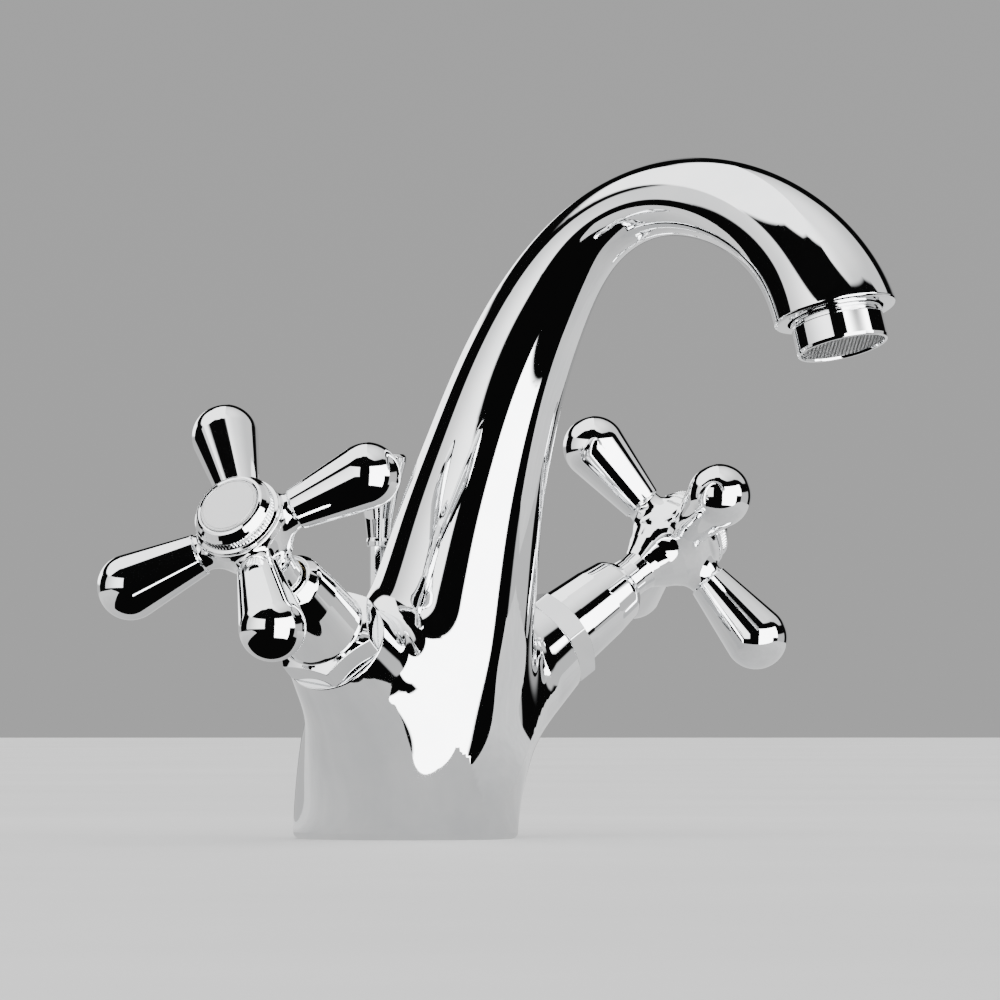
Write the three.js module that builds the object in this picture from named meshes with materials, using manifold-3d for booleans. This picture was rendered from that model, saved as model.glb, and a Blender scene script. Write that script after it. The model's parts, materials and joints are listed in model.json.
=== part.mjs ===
// A two-handle basin mixer: a swan-neck body with two angled quarter-turn valves,
// cross handles, an aerator under the spout and a lift rod for the pop-up waste.
// Millimetres, +Z up. The origin is on the deck, in the middle of the base.
// The spout points towards -Y; hot is on the -X side and cold on the +X side.

import * as THREE from 'three';
import { mergeVertices } from 'three/addons/utils/BufferGeometryUtils.js';
import Module from 'manifold-3d';

const wasm = await Module();
wasm.setup();

// ---------------------------------------------------------------- driving dimensions

const GAP = 0.3; // clearance kept between pieces that rest on each other

// Body: centre line (y, z) and half widths across X and along the depth, base to spout lip
const BODY_STATIONS = [
  { y: 0.0, z: 0.0, across: 26.6, deep: 28.6 },
  { y: -1.0, z: 12.0, across: 26.6, deep: 28.4 },
  { y: -5.8, z: 30.0, across: 24.6, deep: 25.6 },
  { y: -11.4, z: 46.0, across: 21.8, deep: 22.0 },
  { y: -17.0, z: 62.0, across: 19.5, deep: 19.5 },
  { y: -23.8, z: 84.2, across: 16.7, deep: 16.7 },
  { y: -31.1, z: 103.5, across: 14.5, deep: 14.5 },
  { y: -40.1, z: 121.4, across: 12.9, deep: 12.9 },
  { y: -51.2, z: 137.1, across: 10.6, deep: 10.6 },
  { y: -66.9, z: 149.4, across: 8.8, deep: 8.8 },
  { y: -87.0, z: 154.0, across: 9.2, deep: 9.2 },
  { y: -107.4, z: 150.9, across: 10.5, deep: 10.5 },
  { y: -124.7, z: 141.6, across: 12.3, deep: 12.3 },
  { y: -135.0, z: 130.4, across: 14.1, deep: 14.1 },
  { y: -137.8, z: 124.1, across: 14.9, deep: 14.9 },
];
const SPOUT_TILT = 16.4; // degrees that the outlet leans outwards from straight down
const BASE_EDGE = 2.2; // rounding of the edge that meets the deck
const RECESS = { across: 20.0, deep: 22.4, height: 12 };

// Valves: each has its own frame, whose axis rises outwards and forwards from this origin
const VALVE = { x: 43.9, y: -13.3, z: 51.6 };
const VALVE_RISE = 33.1; // degrees above the horizontal
const VALVE_SWEEP = 13.3; // degrees forwards of straight sideways
// Heights below are measured along the axis, from the valve frame's origin
const SEAT = { height: -7.5, radius: 13.2 }; // the flat end of each boss
const VALVE_BORE = { radius: 9.3, depth: 22 };
const HUB_HEIGHT = 41; // the plane of the four arms

// Handles
const ARM_BALL = { reach: 32.1, radius: 7.4 };
const ARM_COUNT = 4;
const ARM_START = { hot: 29.4, cold: 65.5 }; // degrees, angle of the first arm at rest
const INDEX_DISC = { radius: 7.25, height: 11.2 };

// Fixings and services through the tap hole
const DECK = 20; // thickness of the deck that the part is drawn clamped to
const STUD = { y: -12.5, radius: 4, bottom: -48, top: 30 };
const INLET = { x: 8.5, y: -1, radius: 4.4, top: 26 };
const ROD = { y: 9, radius: 2.2, bottom: -66, bossTop: 56 };
const KNOB = { bottom: 72, top: 95, radius: 7.1 };

// Aerator, measured from the spout lip along the outlet
const AERATOR = { radius: 11, showing: 8.2, socket: 11.4, socketDepth: 9 };

const ROUND = 16; // sides of an ordinary round piece
const FINE_ROUND = 24; // sides of the body's sections and the aerator
const BORE_ROUND = 10; // sides of a hidden bore

// ---------------------------------------------------------------- solids

const rad = THREE.MathUtils.degToRad;

// Merges a geometry's vertices and turns its faces outwards if they point in.
function clean(geometry) {
  const bare = geometry.clone();
  for (const name of Object.keys(bare.attributes)) {
    if (name !== 'position') {
      bare.deleteAttribute(name);
    }
  }
  const merged = mergeVertices(bare, 1e-4);
  const position = merged.attributes.position;
  const index = merged.index.array;
  const [a, b, c] = [new THREE.Vector3(), new THREE.Vector3(), new THREE.Vector3()];
  const kept = [];
  let volume = 0;
  for (let i = 0; i < index.length; i += 3) {
    const [p, q, r] = [index[i], index[i + 1], index[i + 2]];
    if (p !== q && q !== r && r !== p) {
      kept.push(p, q, r);
      a.fromBufferAttribute(position, p);
      b.fromBufferAttribute(position, q);
      c.fromBufferAttribute(position, r);
      volume += a.dot(b.cross(c));
    }
  }
  if (volume < 0) {
    kept.reverse();
  }
  merged.setIndex(kept);
  return merged;
}

// Turns a closed geometry into a manifold solid for joining and cutting.
function solid(geometry) {
  const tidy = clean(geometry);
  return new wasm.Manifold(new wasm.Mesh({
    numProp: 3,
    vertProperties: Float32Array.from(tidy.attributes.position.array),
    triVerts: Uint32Array.from(tidy.index.array),
  }));
}

// Turns a manifold solid back into a geometry.
function geometryOf(manifold) {
  const mesh = manifold.getMesh();
  const geometry = new THREE.BufferGeometry();
  geometry.setAttribute('position', new THREE.BufferAttribute(Float32Array.from(mesh.vertProperties), 3));
  geometry.setIndex(Array.from(mesh.triVerts));
  return geometry;
}

function join(first, ...others) {
  return others.reduce((sum, other) => sum.add(other), first);
}

function cut(first, ...others) {
  return others.reduce((rest, other) => rest.subtract(other), first);
}

// A turned piece: a closed outline of [radius, height] corners swept round the Z axis.
function turned(outline, sides = ROUND) {
  const points = outline.map(([radius, height]) => new THREE.Vector2(radius, height));
  const closed = points[0].x === 0 && points.at(-1).x === 0;
  if (!closed) {
    points.push(points[0].clone());
  }
  return clean(new THREE.LatheGeometry(points, sides).rotateX(Math.PI / 2));
}

// A plain disc or bar standing on the Z axis.
function rod(radius, low, high, sides = ROUND) {
  return turned([[0, low], [radius, low], [radius, high], [0, high]], sides);
}

// A plain ring or sleeve round the Z axis.
function ring(inner, outer, low, high, sides = ROUND) {
  return turned([[inner, low], [outer, low], [outer, high], [inner, high]], sides);
}

// A round ring of cord, such as an O-ring.
function cordRing(middle, thickness, height, sides = ROUND) {
  const shape = new THREE.TorusGeometry(middle, thickness / 2, 6, sides);
  return clean(shape.translate(0, 0, height));
}

// A straight bar of the given radius between two points.
function barBetween(start, end, radius, sides = BORE_ROUND) {
  const along = new THREE.Vector3().subVectors(end, start);
  const shape = rod(radius, 0, along.length(), sides);
  const turn = new THREE.Quaternion().setFromUnitVectors(new THREE.Vector3(0, 0, 1), along.normalize());
  return shape.applyQuaternion(turn).translate(start.x, start.y, start.z);
}

// A plate of the given outline in the XY plane.
function plate(shape, low, high, curveSegments = 12) {
  const geometry = new THREE.ExtrudeGeometry(shape, { depth: high - low, bevelEnabled: false, curveSegments });
  return clean(geometry.translate(0, 0, low));
}

// A closed skin through rings of points, capped with a fan at each end.
function skin(rings) {
  const around = rings[0].length;
  const points = rings.flat();
  const faces = [];
  for (let i = 0; i + 1 < rings.length; i += 1) {
    for (let k = 0; k < around; k += 1) {
      const next = (k + 1) % around;
      const [a, b] = [i * around + k, i * around + next];
      faces.push(a, b, a + around, b, b + around, a + around);
    }
  }
  for (const [start, flip] of [[0, true], [(rings.length - 1) * around, false]]) {
    const centre = new THREE.Vector3();
    for (let k = 0; k < around; k += 1) {
      centre.addScaledVector(points[start + k], 1 / around);
    }
    points.push(centre);
    const middle = points.length - 1;
    for (let k = 0; k < around; k += 1) {
      const [a, b] = [start + k, start + ((k + 1) % around)];
      faces.push(...(flip ? [middle, b, a] : [middle, a, b]));
    }
  }
  const geometry = new THREE.BufferGeometry().setFromPoints(points);
  geometry.setIndex(faces);
  return clean(geometry);
}

// ---------------------------------------------------------------- places

// The matrix that takes a valve's own frame (seat at z = 0, axis +Z) to its place.
function valveMatrix(side) {
  const sign = side === 'hot' ? -1 : 1;
  const rise = rad(VALVE_RISE);
  const sweep = rad(VALVE_SWEEP);
  const axis = new THREE.Vector3(
    sign * Math.cos(rise) * Math.cos(sweep),
    -Math.cos(rise) * Math.sin(sweep),
    Math.sin(rise),
  );
  const level = new THREE.Vector3(0, 0, 1).cross(axis).normalize();
  const upright = axis.clone().cross(level);
  const matrix = new THREE.Matrix4().makeBasis(level, upright, axis);
  return matrix.setPosition(sign * VALVE.x, VALVE.y, VALVE.z);
}

// The matrix of the outlet's own frame (lip at z = 0, water leaving along +Z).
function outletMatrix() {
  const lip = BODY_STATIONS.at(-1);
  const tilt = rad(SPOUT_TILT);
  const out = new THREE.Vector3(0, -Math.sin(tilt), -Math.cos(tilt));
  const across = new THREE.Vector3(1, 0, 0);
  const matrix = new THREE.Matrix4().makeBasis(across, out.clone().cross(across), out);
  return matrix.setPosition(0, lip.y, lip.z);
}

// A point on a valve's axis or beside it, in the part's frame.
function valvePoint(side, x, y, z) {
  return new THREE.Vector3(x, y, z).applyMatrix4(valveMatrix(side));
}

// ---------------------------------------------------------------- body

// Rings of a loft that follows the body's centre line, shrunk by a wall thickness.
function bodyRings(from, to, steps, sides, halfWidths) {
  const line = new THREE.CatmullRomCurve3(BODY_STATIONS.map(({ y, z }) => new THREE.Vector3(0, y, z)));
  const size = new THREE.CatmullRomCurve3(
    BODY_STATIONS.map(({ across, deep }, i) => new THREE.Vector3(i, across, deep)),
  );
  const last = BODY_STATIONS.length - 1;
  const tilt = rad(SPOUT_TILT);
  const upright = new THREE.Vector3(0, 0, 1);
  const outlet = new THREE.Vector3(0, -Math.sin(tilt), -Math.cos(tilt));
  const rings = [];
  for (let i = 0; i <= steps; i += 1) {
    const t = from + ((to - from) * i) / steps;
    const centre = line.getPoint(t);
    const along = line.getTangent(t);
    along.lerp(upright, Math.max(0, 1 - (t * last) / 1.5));
    along.lerp(outlet, Math.max(0, t * last - last + 1)).normalize();
    const widths = size.getPoint(t);
    const [across, deep] = halfWidths(widths.y, widths.z, t);
    const back = new THREE.Vector3(1, 0, 0).cross(along);
    rings.push(Array.from({ length: sides }, (_, k) => {
      const angle = (2 * Math.PI * k) / sides;
      const point = centre.clone().addScaledVector(new THREE.Vector3(1, 0, 0), across * Math.cos(angle));
      return point.addScaledVector(back, -deep * Math.sin(angle));
    }));
  }
  return rings;
}

// The base edge is rounded where the casting meets the deck.
function baseRing(height) {
  const { across, deep } = BODY_STATIONS[0];
  const inset = BASE_EDGE - Math.sqrt(Math.max(0, BASE_EDGE ** 2 - (BASE_EDGE - height) ** 2));
  return Array.from({ length: FINE_ROUND }, (_, k) => {
    const angle = (2 * Math.PI * k) / FINE_ROUND;
    return new THREE.Vector3(
      (across - inset) * Math.cos(angle),
      (deep - inset) * Math.sin(angle),
      height,
    );
  });
}

function faucetBody() {
  const first = 0.02;
  const rings = bodyRings(first, 1, 26, FINE_ROUND, (across, deep) => [across, deep]);
  const edge = [0, 0.4, 1.1].map(baseRing);
  let body = solid(skin([...edge, ...rings]));
  const boss = [
    [0, -48], [16, -48], [19.6, -32], [17.0, -20], [14.4, -12],
    [SEAT.radius, SEAT.height], [0, SEAT.height],
  ];
  for (const side of ['hot', 'cold']) {
    body = body.add(solid(turned(boss, FINE_ROUND).applyMatrix4(valveMatrix(side))));
  }
  body = body.add(solid(rod(5.2, 20, ROD.bossTop).translate(0, ROD.y, 0)));

  const waterway = skin(bodyRings(0.27, 0.995, 10, BORE_ROUND, () => [6, 6]));
  const recess = rod(1, -1, RECESS.height, FINE_ROUND).scale(RECESS.across, RECESS.deep, 1);
  body = cut(
    body,
    solid(recess),
    solid(waterway),
    solid(rod(STUD.radius + 0.1, 5, STUD.top + 2, BORE_ROUND + 4).translate(0, STUD.y, 0)),
    solid(rod(ROD.radius + GAP, 5, ROD.bossTop + 5, BORE_ROUND).translate(0, ROD.y, 0)),
    solid(rod(3.9, ROD.bossTop - 10, ROD.bossTop + 5, BORE_ROUND + 4).translate(0, ROD.y, 0)),
    solid(rod(5.4, ROD.bossTop, ROD.bossTop + 9, BORE_ROUND + 4).translate(0, ROD.y, 0)),
    solid(rod(AERATOR.socket, -AERATOR.socketDepth, 5, FINE_ROUND).applyMatrix4(outletMatrix())),
  );
  for (const side of ['hot', 'cold']) {
    const sign = side === 'hot' ? -1 : 1;
    const inlet = new THREE.Vector3(sign * INLET.x, INLET.y, 0);
    const rise = new THREE.Vector3(sign * INLET.x, INLET.y, INLET.top - 3);
    const mixing = new THREE.Vector3(0, -16.2, 60);
    body = cut(
      body,
      solid(rod(VALVE_BORE.radius, -VALVE_BORE.depth, 5).applyMatrix4(valveMatrix(side))),
      solid(rod(INLET.radius, 5, INLET.top, BORE_ROUND).translate(inlet.x, inlet.y, 0)),
      solid(barBetween(rise, valvePoint(side, 0, 0, -VALVE_BORE.depth + 3), 3)),
      solid(barBetween(valvePoint(side, 0, 0, -12), mixing, 3.5)),
    );
  }
  return geometryOf(body);
}

// ---------------------------------------------------------------- valve pieces, in the valve's frame

// Brass cartridge that screws into the boss, open below for the ceramic discs.
function headwork() {
  const shell = turned([
    [6.7, -20], [8.6, -20], [9.0, -19], [9.0, 1.5], [7.8, 1.5], [7.8, 12.5], [5.0, 12.5],
    [5.0, 17], [4.1, 17], [4.1, -10.8], [6.7, -10.8],
  ]);
  const window = new THREE.BoxGeometry(20, 5, 3).translate(0, 0, -12.6);
  return geometryOf(cut(solid(shell), solid(window)));
}

function seatSeal() {
  return ring(4.2, 8.2, -21.7, -20 - GAP);
}

// A ceramic disc with two ports; quarter of a turn apart, the ports of a pair are shut.
function ceramicDisc(low, high, angle) {
  const ports = [0, Math.PI].map((turn) => {
    const [x, y] = [3.4 * Math.cos(angle + turn), 3.4 * Math.sin(angle + turn)];
    return solid(rod(1.9, low - 1, high + 1, 8).translate(x, y, 0));
  });
  return geometryOf(cut(solid(rod(6.3, low, high)), ...ports));
}

// Spindle with its drive plate, O-ring groove, circlip groove and tapped end.
function spindle() {
  const top = HUB_HEIGHT - 1.8;
  return turned([
    [0, -14.2], [6.0, -14.2], [6.0, -11.3], [3.8, -11.3], [3.8, 2], [2.9, 2], [2.9, 4], [3.8, 4],
    [3.8, 17.1], [3.2, 17.1], [3.2, 18.25], [3.8, 18.25], [3.8, top], [2.3, top],
    [2.3, top - 11], [0, top - 11],
  ]);
}

function circlip() {
  const gap = new THREE.BoxGeometry(8, 2.2, 4).translate(4, 0, 17.7);
  return geometryOf(cut(solid(ring(3.5, 4.9, 17.35, 18)), solid(gap)));
}

// Chromed cover: a hexagon to grip, then a round barrel that closes in over the spindle.
function shroud() {
  const acrossFlats = 23;
  const corner = acrossFlats / 2 / Math.cos(Math.PI / 6);
  const foot = SEAT.height + GAP;
  const top = foot + 6; // of the hexagon
  const hexagon = rod(corner, foot, top, 6);
  const chamfer = turned([[0, foot], [corner + 1, foot], [corner + 1, top - 2], [10, top], [0, top]]);
  const barrel = turned([
    [0, top - 2], [10.3, top - 2], [10.2, 3], [9.8, 8], [9.3, 13], [8.9, 16], [8.3, 18.4], [7.4, 20.2],
    [6.6, 21.2], [0, 21.2],
  ]);
  const hollow = turned([
    [0, foot - 1], [9.5, foot - 1], [9.5, 3], [8.1, 5], [8.1, 16], [5.7, 18.2], [5.7, 25], [0, 25],
  ]);
  const outside = join(solid(hexagon).intersect(solid(chamfer)), solid(barrel));
  return geometryOf(cut(outside, solid(hollow)));
}

// ---------------------------------------------------------------- handle pieces, arm plane at z = 0

// One arm along +X: a slim root that swells into a round end.
function handleArm() {
  const { reach, radius } = ARM_BALL;
  const outline = [[0, 6], [4.9, 6], [4.9, 12.2], [4.4, 13.4], [5.2, 18.5], [6.6, 25]];
  const steps = 5;
  for (let i = 0; i <= steps; i += 1) {
    const angle = 0.25 - (0.25 + Math.PI / 2) * (i / steps);
    outline.push([radius * Math.cos(angle), reach - radius * Math.sin(angle)]);
  }
  outline.at(-1)[0] = 0;
  return turned(outline, 12).rotateY(Math.PI / 2);
}

function handleCross(startAngle) {
  const hub = turned([
    [0, -22.5], [5.2, -22.5], [5.2, -13.6], [6.0, -11.6], [7.8, -9.2], [9.2, -6.6], [9.9, -3.2], [10.2, 0],
    [10.5, 3.2], [10.9, 4.0], [10.9, 5.2], [0, 5.2],
  ]);
  const arms = Array.from({ length: ARM_COUNT }, (_, k) => {
    const angle = rad(startAngle) + (2 * Math.PI * k) / ARM_COUNT;
    return solid(handleArm().rotateZ(angle));
  });
  return geometryOf(cut(
    join(solid(hub), ...arms),
    solid(rod(4.1, -25, -1.5, 16)),
    solid(rod(2.3, -5, 5, BORE_ROUND)),
    solid(rod(8, 1.5, 7)),
  ));
}

function handleScrew() {
  const head = turned([[0, -9.5], [2.0, -9.5], [2.0, 1.8], [3.4, 1.8], [3.4, 3.6], [2.9, 4.1], [0, 4.1]], 14);
  const socket = rod(1.5, 2.4, 6, 6);
  return geometryOf(cut(solid(head), solid(socket)));
}

// Cap that plugs the hub: rim, grip ring and bevelled collar round the index disc.
function indexCap() {
  return turned([
    [6.4, 2.2], [7.7, 2.2], [7.7, 5.5], [10.9, 5.5], [10.9, 6.3], [9.85, 6.7], [9.85, 8.8],
    [9.3, 9.2], [8.6, 10.5], [7.6, 11.0], [7.6, 9.6], [6.4, 9.6],
  ]);
}

function indexDisc() {
  const { radius, height } = INDEX_DISC;
  return turned([[0, 9.9], [radius, 9.9], [radius, height - 0.3], [radius - 0.4, height], [0, height]]);
}

// ---------------------------------------------------------------- aerator, lip at z = 0

function aeratorShell() {
  const { radius, showing } = AERATOR;
  return turned([
    [10, -5.5], [radius, -5.5], [radius, 0.6], [radius - 0.5, 0.9], [radius - 0.5, 1.6], [radius, 1.9],
    [radius, showing - 0.5], [radius - 0.4, showing], [10, showing],
  ], FINE_ROUND);
}

// Plastic core that mixes air into the water, with round channels through it.
function aeratorInsert() {
  const channels = Array.from({ length: 8 }, (_, k) => {
    const angle = (2 * Math.PI * k) / 8;
    const bore = rod(1.7, -8, 10, 8);
    return solid(bore.translate(6.2 * Math.cos(angle), 6.2 * Math.sin(angle), 0));
  });
  return geometryOf(cut(solid(rod(9.7, -4.8, 6.8)), ...channels));
}

function aeratorMesh() {
  const pitch = 3.6;
  const holes = [];
  for (let i = -2; i <= 2; i += 1) {
    for (let j = -2; j <= 2; j += 1) {
      if (Math.hypot(i, j) * pitch < 8) {
        holes.push(solid(new THREE.BoxGeometry(2.6, 2.6, 4).translate(i * pitch, j * pitch, 7.5)));
      }
    }
  }
  return geometryOf(cut(solid(rod(9.7, 7.1, 7.8)), ...holes));
}

function aeratorWasher() {
  return ring(7, 10.9, -AERATOR.socketDepth + GAP, -5.8);
}

// ---------------------------------------------------------------- fixings and lift rod

// Flat rubber ring in the mouth of the base recess.
function baseSeal() {
  const outline = new THREE.Shape().absellipse(0, 0, RECESS.across - GAP, RECESS.deep - GAP, 0, 2 * Math.PI);
  outline.holes.push(new THREE.Path().absellipse(0, 0, 17.8, 20, 0, 2 * Math.PI));
  return plate(outline, 0, 2.5, 14);
}

function mountingStud() {
  return rod(STUD.radius - 0.05, STUD.bottom, STUD.top, BORE_ROUND + 4).translate(0, STUD.y, 0);
}

// Horseshoe outline open towards the back, with the stud's hole at the front.
function horseshoe(outer) {
  const halfSlot = 13;
  const mouth = Math.sqrt(outer ** 2 - halfSlot ** 2);
  const outline = new THREE.Shape();
  outline.absarc(0, 0, outer, Math.atan2(mouth, -halfSlot), 2 * Math.PI + Math.atan2(mouth, halfSlot));
  outline.lineTo(halfSlot, -2);
  outline.lineTo(9, -6);
  outline.lineTo(-9, -6);
  outline.lineTo(-halfSlot, -2);
  outline.closePath();
  outline.holes.push(new THREE.Path().absarc(0, STUD.y, STUD.radius + 0.4, 0, 2 * Math.PI));
  return outline;
}

function deckGasket() {
  return plate(horseshoe(24.5), -DECK - 3, -DECK);
}

function clampPlate() {
  return plate(horseshoe(25), -DECK - 3 - GAP - 2.5, -DECK - 3 - GAP);
}

function studNut() {
  const top = -DECK - 6.1;
  const body = solid(rod(7.5, top - 12, top, 6));
  return geometryOf(cut(body, solid(rod(STUD.radius + 0.05, top - 14, top + 2, BORE_ROUND + 4)))
    .translate([0, STUD.y, 0]));
}

function rodBush() {
  const top = ROD.bossTop + 1.4;
  return turned([
    [ROD.radius + 0.2, ROD.bossTop - 9.6], [3.6, ROD.bossTop - 9.6], [3.6, ROD.bossTop + GAP],
    [4.8, ROD.bossTop + GAP], [4.6, top - 0.3], [4.0, top], [ROD.radius + 0.2, top],
  ], 16).translate(0, ROD.y, 0);
}

function liftRod() {
  return rod(ROD.radius, ROD.bottom, KNOB.bottom + 9, BORE_ROUND).translate(0, ROD.y, 0);
}

function liftKnob() {
  const { bottom, top, radius } = KNOB;
  return turned([
    [ROD.radius + 0.1, bottom], [2.8, bottom], [3.4, bottom + 6], [5.2, bottom + 15], [6.7, top - 2.4],
    [radius, top - 1.2], [radius - 0.5, top - 0.2], [radius - 1.4, top], [0, top],
    [0, bottom + 9.4], [ROD.radius + 0.1, bottom + 9.4],
  ].reverse()).translate(0, ROD.y, 0);
}

// Knuckle at the foot of the rod that takes the waste's own lever.
function rodClamp() {
  const low = ROD.bottom + 2;
  const block = solid(new THREE.BoxGeometry(11, 10, 12).translate(0, ROD.y, low + 6));
  return geometryOf(cut(
    block,
    solid(rod(ROD.radius + 0.1, low - 2, low + 14, BORE_ROUND).translate(0, ROD.y, 0)),
    solid(rod(2, 1, 10, BORE_ROUND).rotateX(-Math.PI / 2).translate(0, ROD.y, low + 6)),
  ));
}

function clampScrew() {
  const height = ROD.bottom + 8;
  const start = ROD.y + ROD.radius + 0.3;
  return turned([[0, 0], [1.9, 0], [1.9, 3.1], [4.5, 3.1], [4.5, 7], [4.1, 7.4], [0, 7.4]], 14)
    .rotateX(-Math.PI / 2)
    .translate(0, start, height);
}

// ---------------------------------------------------------------- materials and assembly

const FINISHES = {
  chrome: { color: 0xd8dadc, roughness: 0.06, metalness: 1 },
  brass: { color: 0xc2a15c, roughness: 0.35, metalness: 1 },
  steel: { color: 0xb4b6b8, roughness: 0.4, metalness: 1 },
  rubber: { color: 0x1d1d1f, roughness: 0.85, metalness: 0 },
  ceramic: { color: 0xefece4, roughness: 0.25, metalness: 0 },
  plastic: { color: 0xb9bcc0, roughness: 0.45, metalness: 0 },
  disc: { color: 0xe4e6e8, roughness: 0.35, metalness: 0.2 },
};

function piece(name, geometry, finish) {
  const mesh = new THREE.Mesh(geometry, new THREE.MeshStandardMaterial(FINISHES[finish]));
  mesh.name = name;
  return mesh;
}

function groupAt(matrix, ...children) {
  const group = new THREE.Group();
  matrix.decompose(group.position, group.quaternion, group.scale);
  group.add(...children);
  return group;
}

function valve(side) {
  const handle = new THREE.Group();
  handle.position.z = HUB_HEIGHT;
  handle.add(
    piece(`${side}_handle_cross`, handleCross(ARM_START[side]), 'chrome'),
    piece(`${side}_handle_screw`, handleScrew(), 'steel'),
    piece(`${side}_index_cap`, indexCap(), 'chrome'),
    piece(`${side}_index_disc`, indexDisc(), 'disc'),
  );
  return groupAt(
    valveMatrix(side),
    piece(`${side}_headwork`, headwork(), 'brass'),
    piece(`${side}_seat_seal`, seatSeal(), 'rubber'),
    piece(`${side}_fixed_disc`, ceramicDisc(-20, -17.4, 0), 'ceramic'),
    piece(`${side}_turning_disc`, ceramicDisc(-17.1, -14.5, Math.PI / 2), 'ceramic'),
    piece(`${side}_spindle`, spindle(), 'brass'),
    piece(`${side}_spindle_ring`, cordRing(3.5, 0.8, 3, 16), 'rubber'),
    piece(`${side}_circlip`, circlip(), 'steel'),
    piece(`${side}_shroud`, shroud(), 'chrome'),
    handle,
  );
}

const faucet = new THREE.Group();
faucet.add(
  piece('faucet_body', faucetBody(), 'chrome'),
  piece('base_seal', baseSeal(), 'rubber'),
  piece('mounting_stud', mountingStud(), 'steel'),
  piece('deck_gasket', deckGasket(), 'rubber'),
  piece('clamp_plate', clampPlate(), 'steel'),
  piece('stud_nut', studNut(), 'brass'),
  piece('rod_bush', rodBush(), 'chrome'),
  piece('lift_rod', liftRod(), 'chrome'),
  piece('lift_knob', liftKnob(), 'chrome'),
  piece('rod_clamp', rodClamp(), 'steel'),
  piece('clamp_screw', clampScrew(), 'steel'),
  groupAt(
    outletMatrix(),
    piece('aerator_shell', aeratorShell(), 'chrome'),
    piece('aerator_insert', aeratorInsert(), 'plastic'),
    piece('aerator_mesh', aeratorMesh(), 'steel'),
    piece('aerator_washer', aeratorWasher(), 'rubber'),
  ),
  valve('hot'),
  valve('cold'),
);

export default faucet;
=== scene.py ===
# %% [markdown]
# # A chromed basin mixer in Blender
# The tap is already designed: every part has its place, and the moving ones have their
# joints. What is left is the surface that an eye meets. A polished tap has no colour of its
# own. It is a mirror, so its shape is read entirely from how the studio bends across it,
# and that asks for two things: surfaces whose slope changes smoothly, and a studio worth
# reflecting. Everything here is in metres, in the same frame as the design.

# %% Load the design and look at its box
import json
import math

import bmesh
import bpy
import numpy as np
from mathutils import Matrix, Vector


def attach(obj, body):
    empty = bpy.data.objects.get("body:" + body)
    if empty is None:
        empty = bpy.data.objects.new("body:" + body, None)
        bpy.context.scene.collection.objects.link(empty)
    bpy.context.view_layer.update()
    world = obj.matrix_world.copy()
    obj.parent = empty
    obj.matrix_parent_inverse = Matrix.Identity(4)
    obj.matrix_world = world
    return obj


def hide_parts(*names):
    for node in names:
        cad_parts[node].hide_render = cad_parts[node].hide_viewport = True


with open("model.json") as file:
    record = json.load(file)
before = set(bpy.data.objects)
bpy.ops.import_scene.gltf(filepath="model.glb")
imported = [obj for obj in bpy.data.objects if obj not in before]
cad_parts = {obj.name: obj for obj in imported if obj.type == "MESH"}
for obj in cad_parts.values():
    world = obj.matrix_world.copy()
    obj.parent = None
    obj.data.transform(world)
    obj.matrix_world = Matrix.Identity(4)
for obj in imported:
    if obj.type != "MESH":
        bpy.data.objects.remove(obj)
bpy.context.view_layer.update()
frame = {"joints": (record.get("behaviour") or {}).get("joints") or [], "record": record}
MM = 0.001

# %% [markdown]
# ## Where the valves are
# Each handle turns about its valve's axis, so the joint already says where the axis lies
# and where the plane of the four arms crosses it. I take both from there rather than
# typing them again. The cold handle opens clockwise, so its joint axis points inwards and
# is turned round to point out of the body like the hot one.

# %% Valve axes from the joints
HUB_HEIGHT = 41.0  # mm along the axis from the valve's origin to the plane of the arms
SEAT_HEIGHT = -7.5  # mm along the axis to the flat end of the boss on the body
joints = {joint["name"]: joint for joint in frame["joints"]}


def valve_place(side):
    """The valve's origin in mm, and the axis pointing out of the body."""
    joint = joints[side + "_turn"]
    axis = Vector(joint["axis"]).normalized()
    if side == "cold":
        axis = -axis
    hub = Vector(joint["pos_m"]) / MM
    return hub - axis * HUB_HEIGHT, axis


def valve_matrix(side, height=0.0):
    """Takes a valve's own frame, axis along +Z, to its place. Lengths go from mm to metres."""
    origin, axis = valve_place(side)
    level = Vector((0, 0, 1)).cross(axis).normalized()
    turn = Matrix((level, axis.cross(level), axis)).transposed().to_4x4()
    return Matrix.Translation((origin + axis * height) * MM) @ turn @ Matrix.Scale(MM, 4)


for side in ("hot", "cold"):
    print(side, "valve, mm:", [round(v, 1) for v in valve_place(side)[0]])

# %% [markdown]
# ## Turning arrays into pieces
# Most shapes below are worked out as arrays of points. One helper makes a mesh of them,
# places it, shades it smooth, hands it its material and its body, and hides the designed
# parts that it stands for. Where the true slope of a surface is known, it goes in as the
# shading normal, because a mirror shows the least error between facets.

# %% The helper that makes a piece
def make_piece(name, points, faces, finish, body, stands_for=(), place=None, normals=None):
    mesh = bpy.data.meshes.new(name)
    mesh.from_pydata(np.asarray(points, float).tolist(), [], [list(map(int, f)) for f in faces])
    mesh.update()
    mesh.shade_smooth()
    if normals is not None:
        mesh.normals_split_custom_set_from_vertices(np.asarray(normals, float).tolist())
    piece = bpy.data.objects.new(name, mesh)
    bpy.context.scene.collection.objects.link(piece)
    piece.matrix_world = place if place is not None else Matrix.Scale(MM, 4)
    bpy.context.view_layer.update()
    mesh.materials.append(finish)
    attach(piece, body)
    if stands_for:
        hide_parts(*stands_for)
    print(f"{name}: {len(mesh.vertices)} points, {len(mesh.polygons)} faces")
    return piece


# %% [markdown]
# ## Chrome
# Chrome plate over polished brass is almost a perfect mirror, slightly cool in tone. A
# plain metal shader looks like a computer's idea of it. The real thing has a thin, uneven
# haze from wiping, and its tone drifts a little from one patch to the next. Both are
# procedural and at real scale, in object space, so they are the same on every piece.

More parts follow.
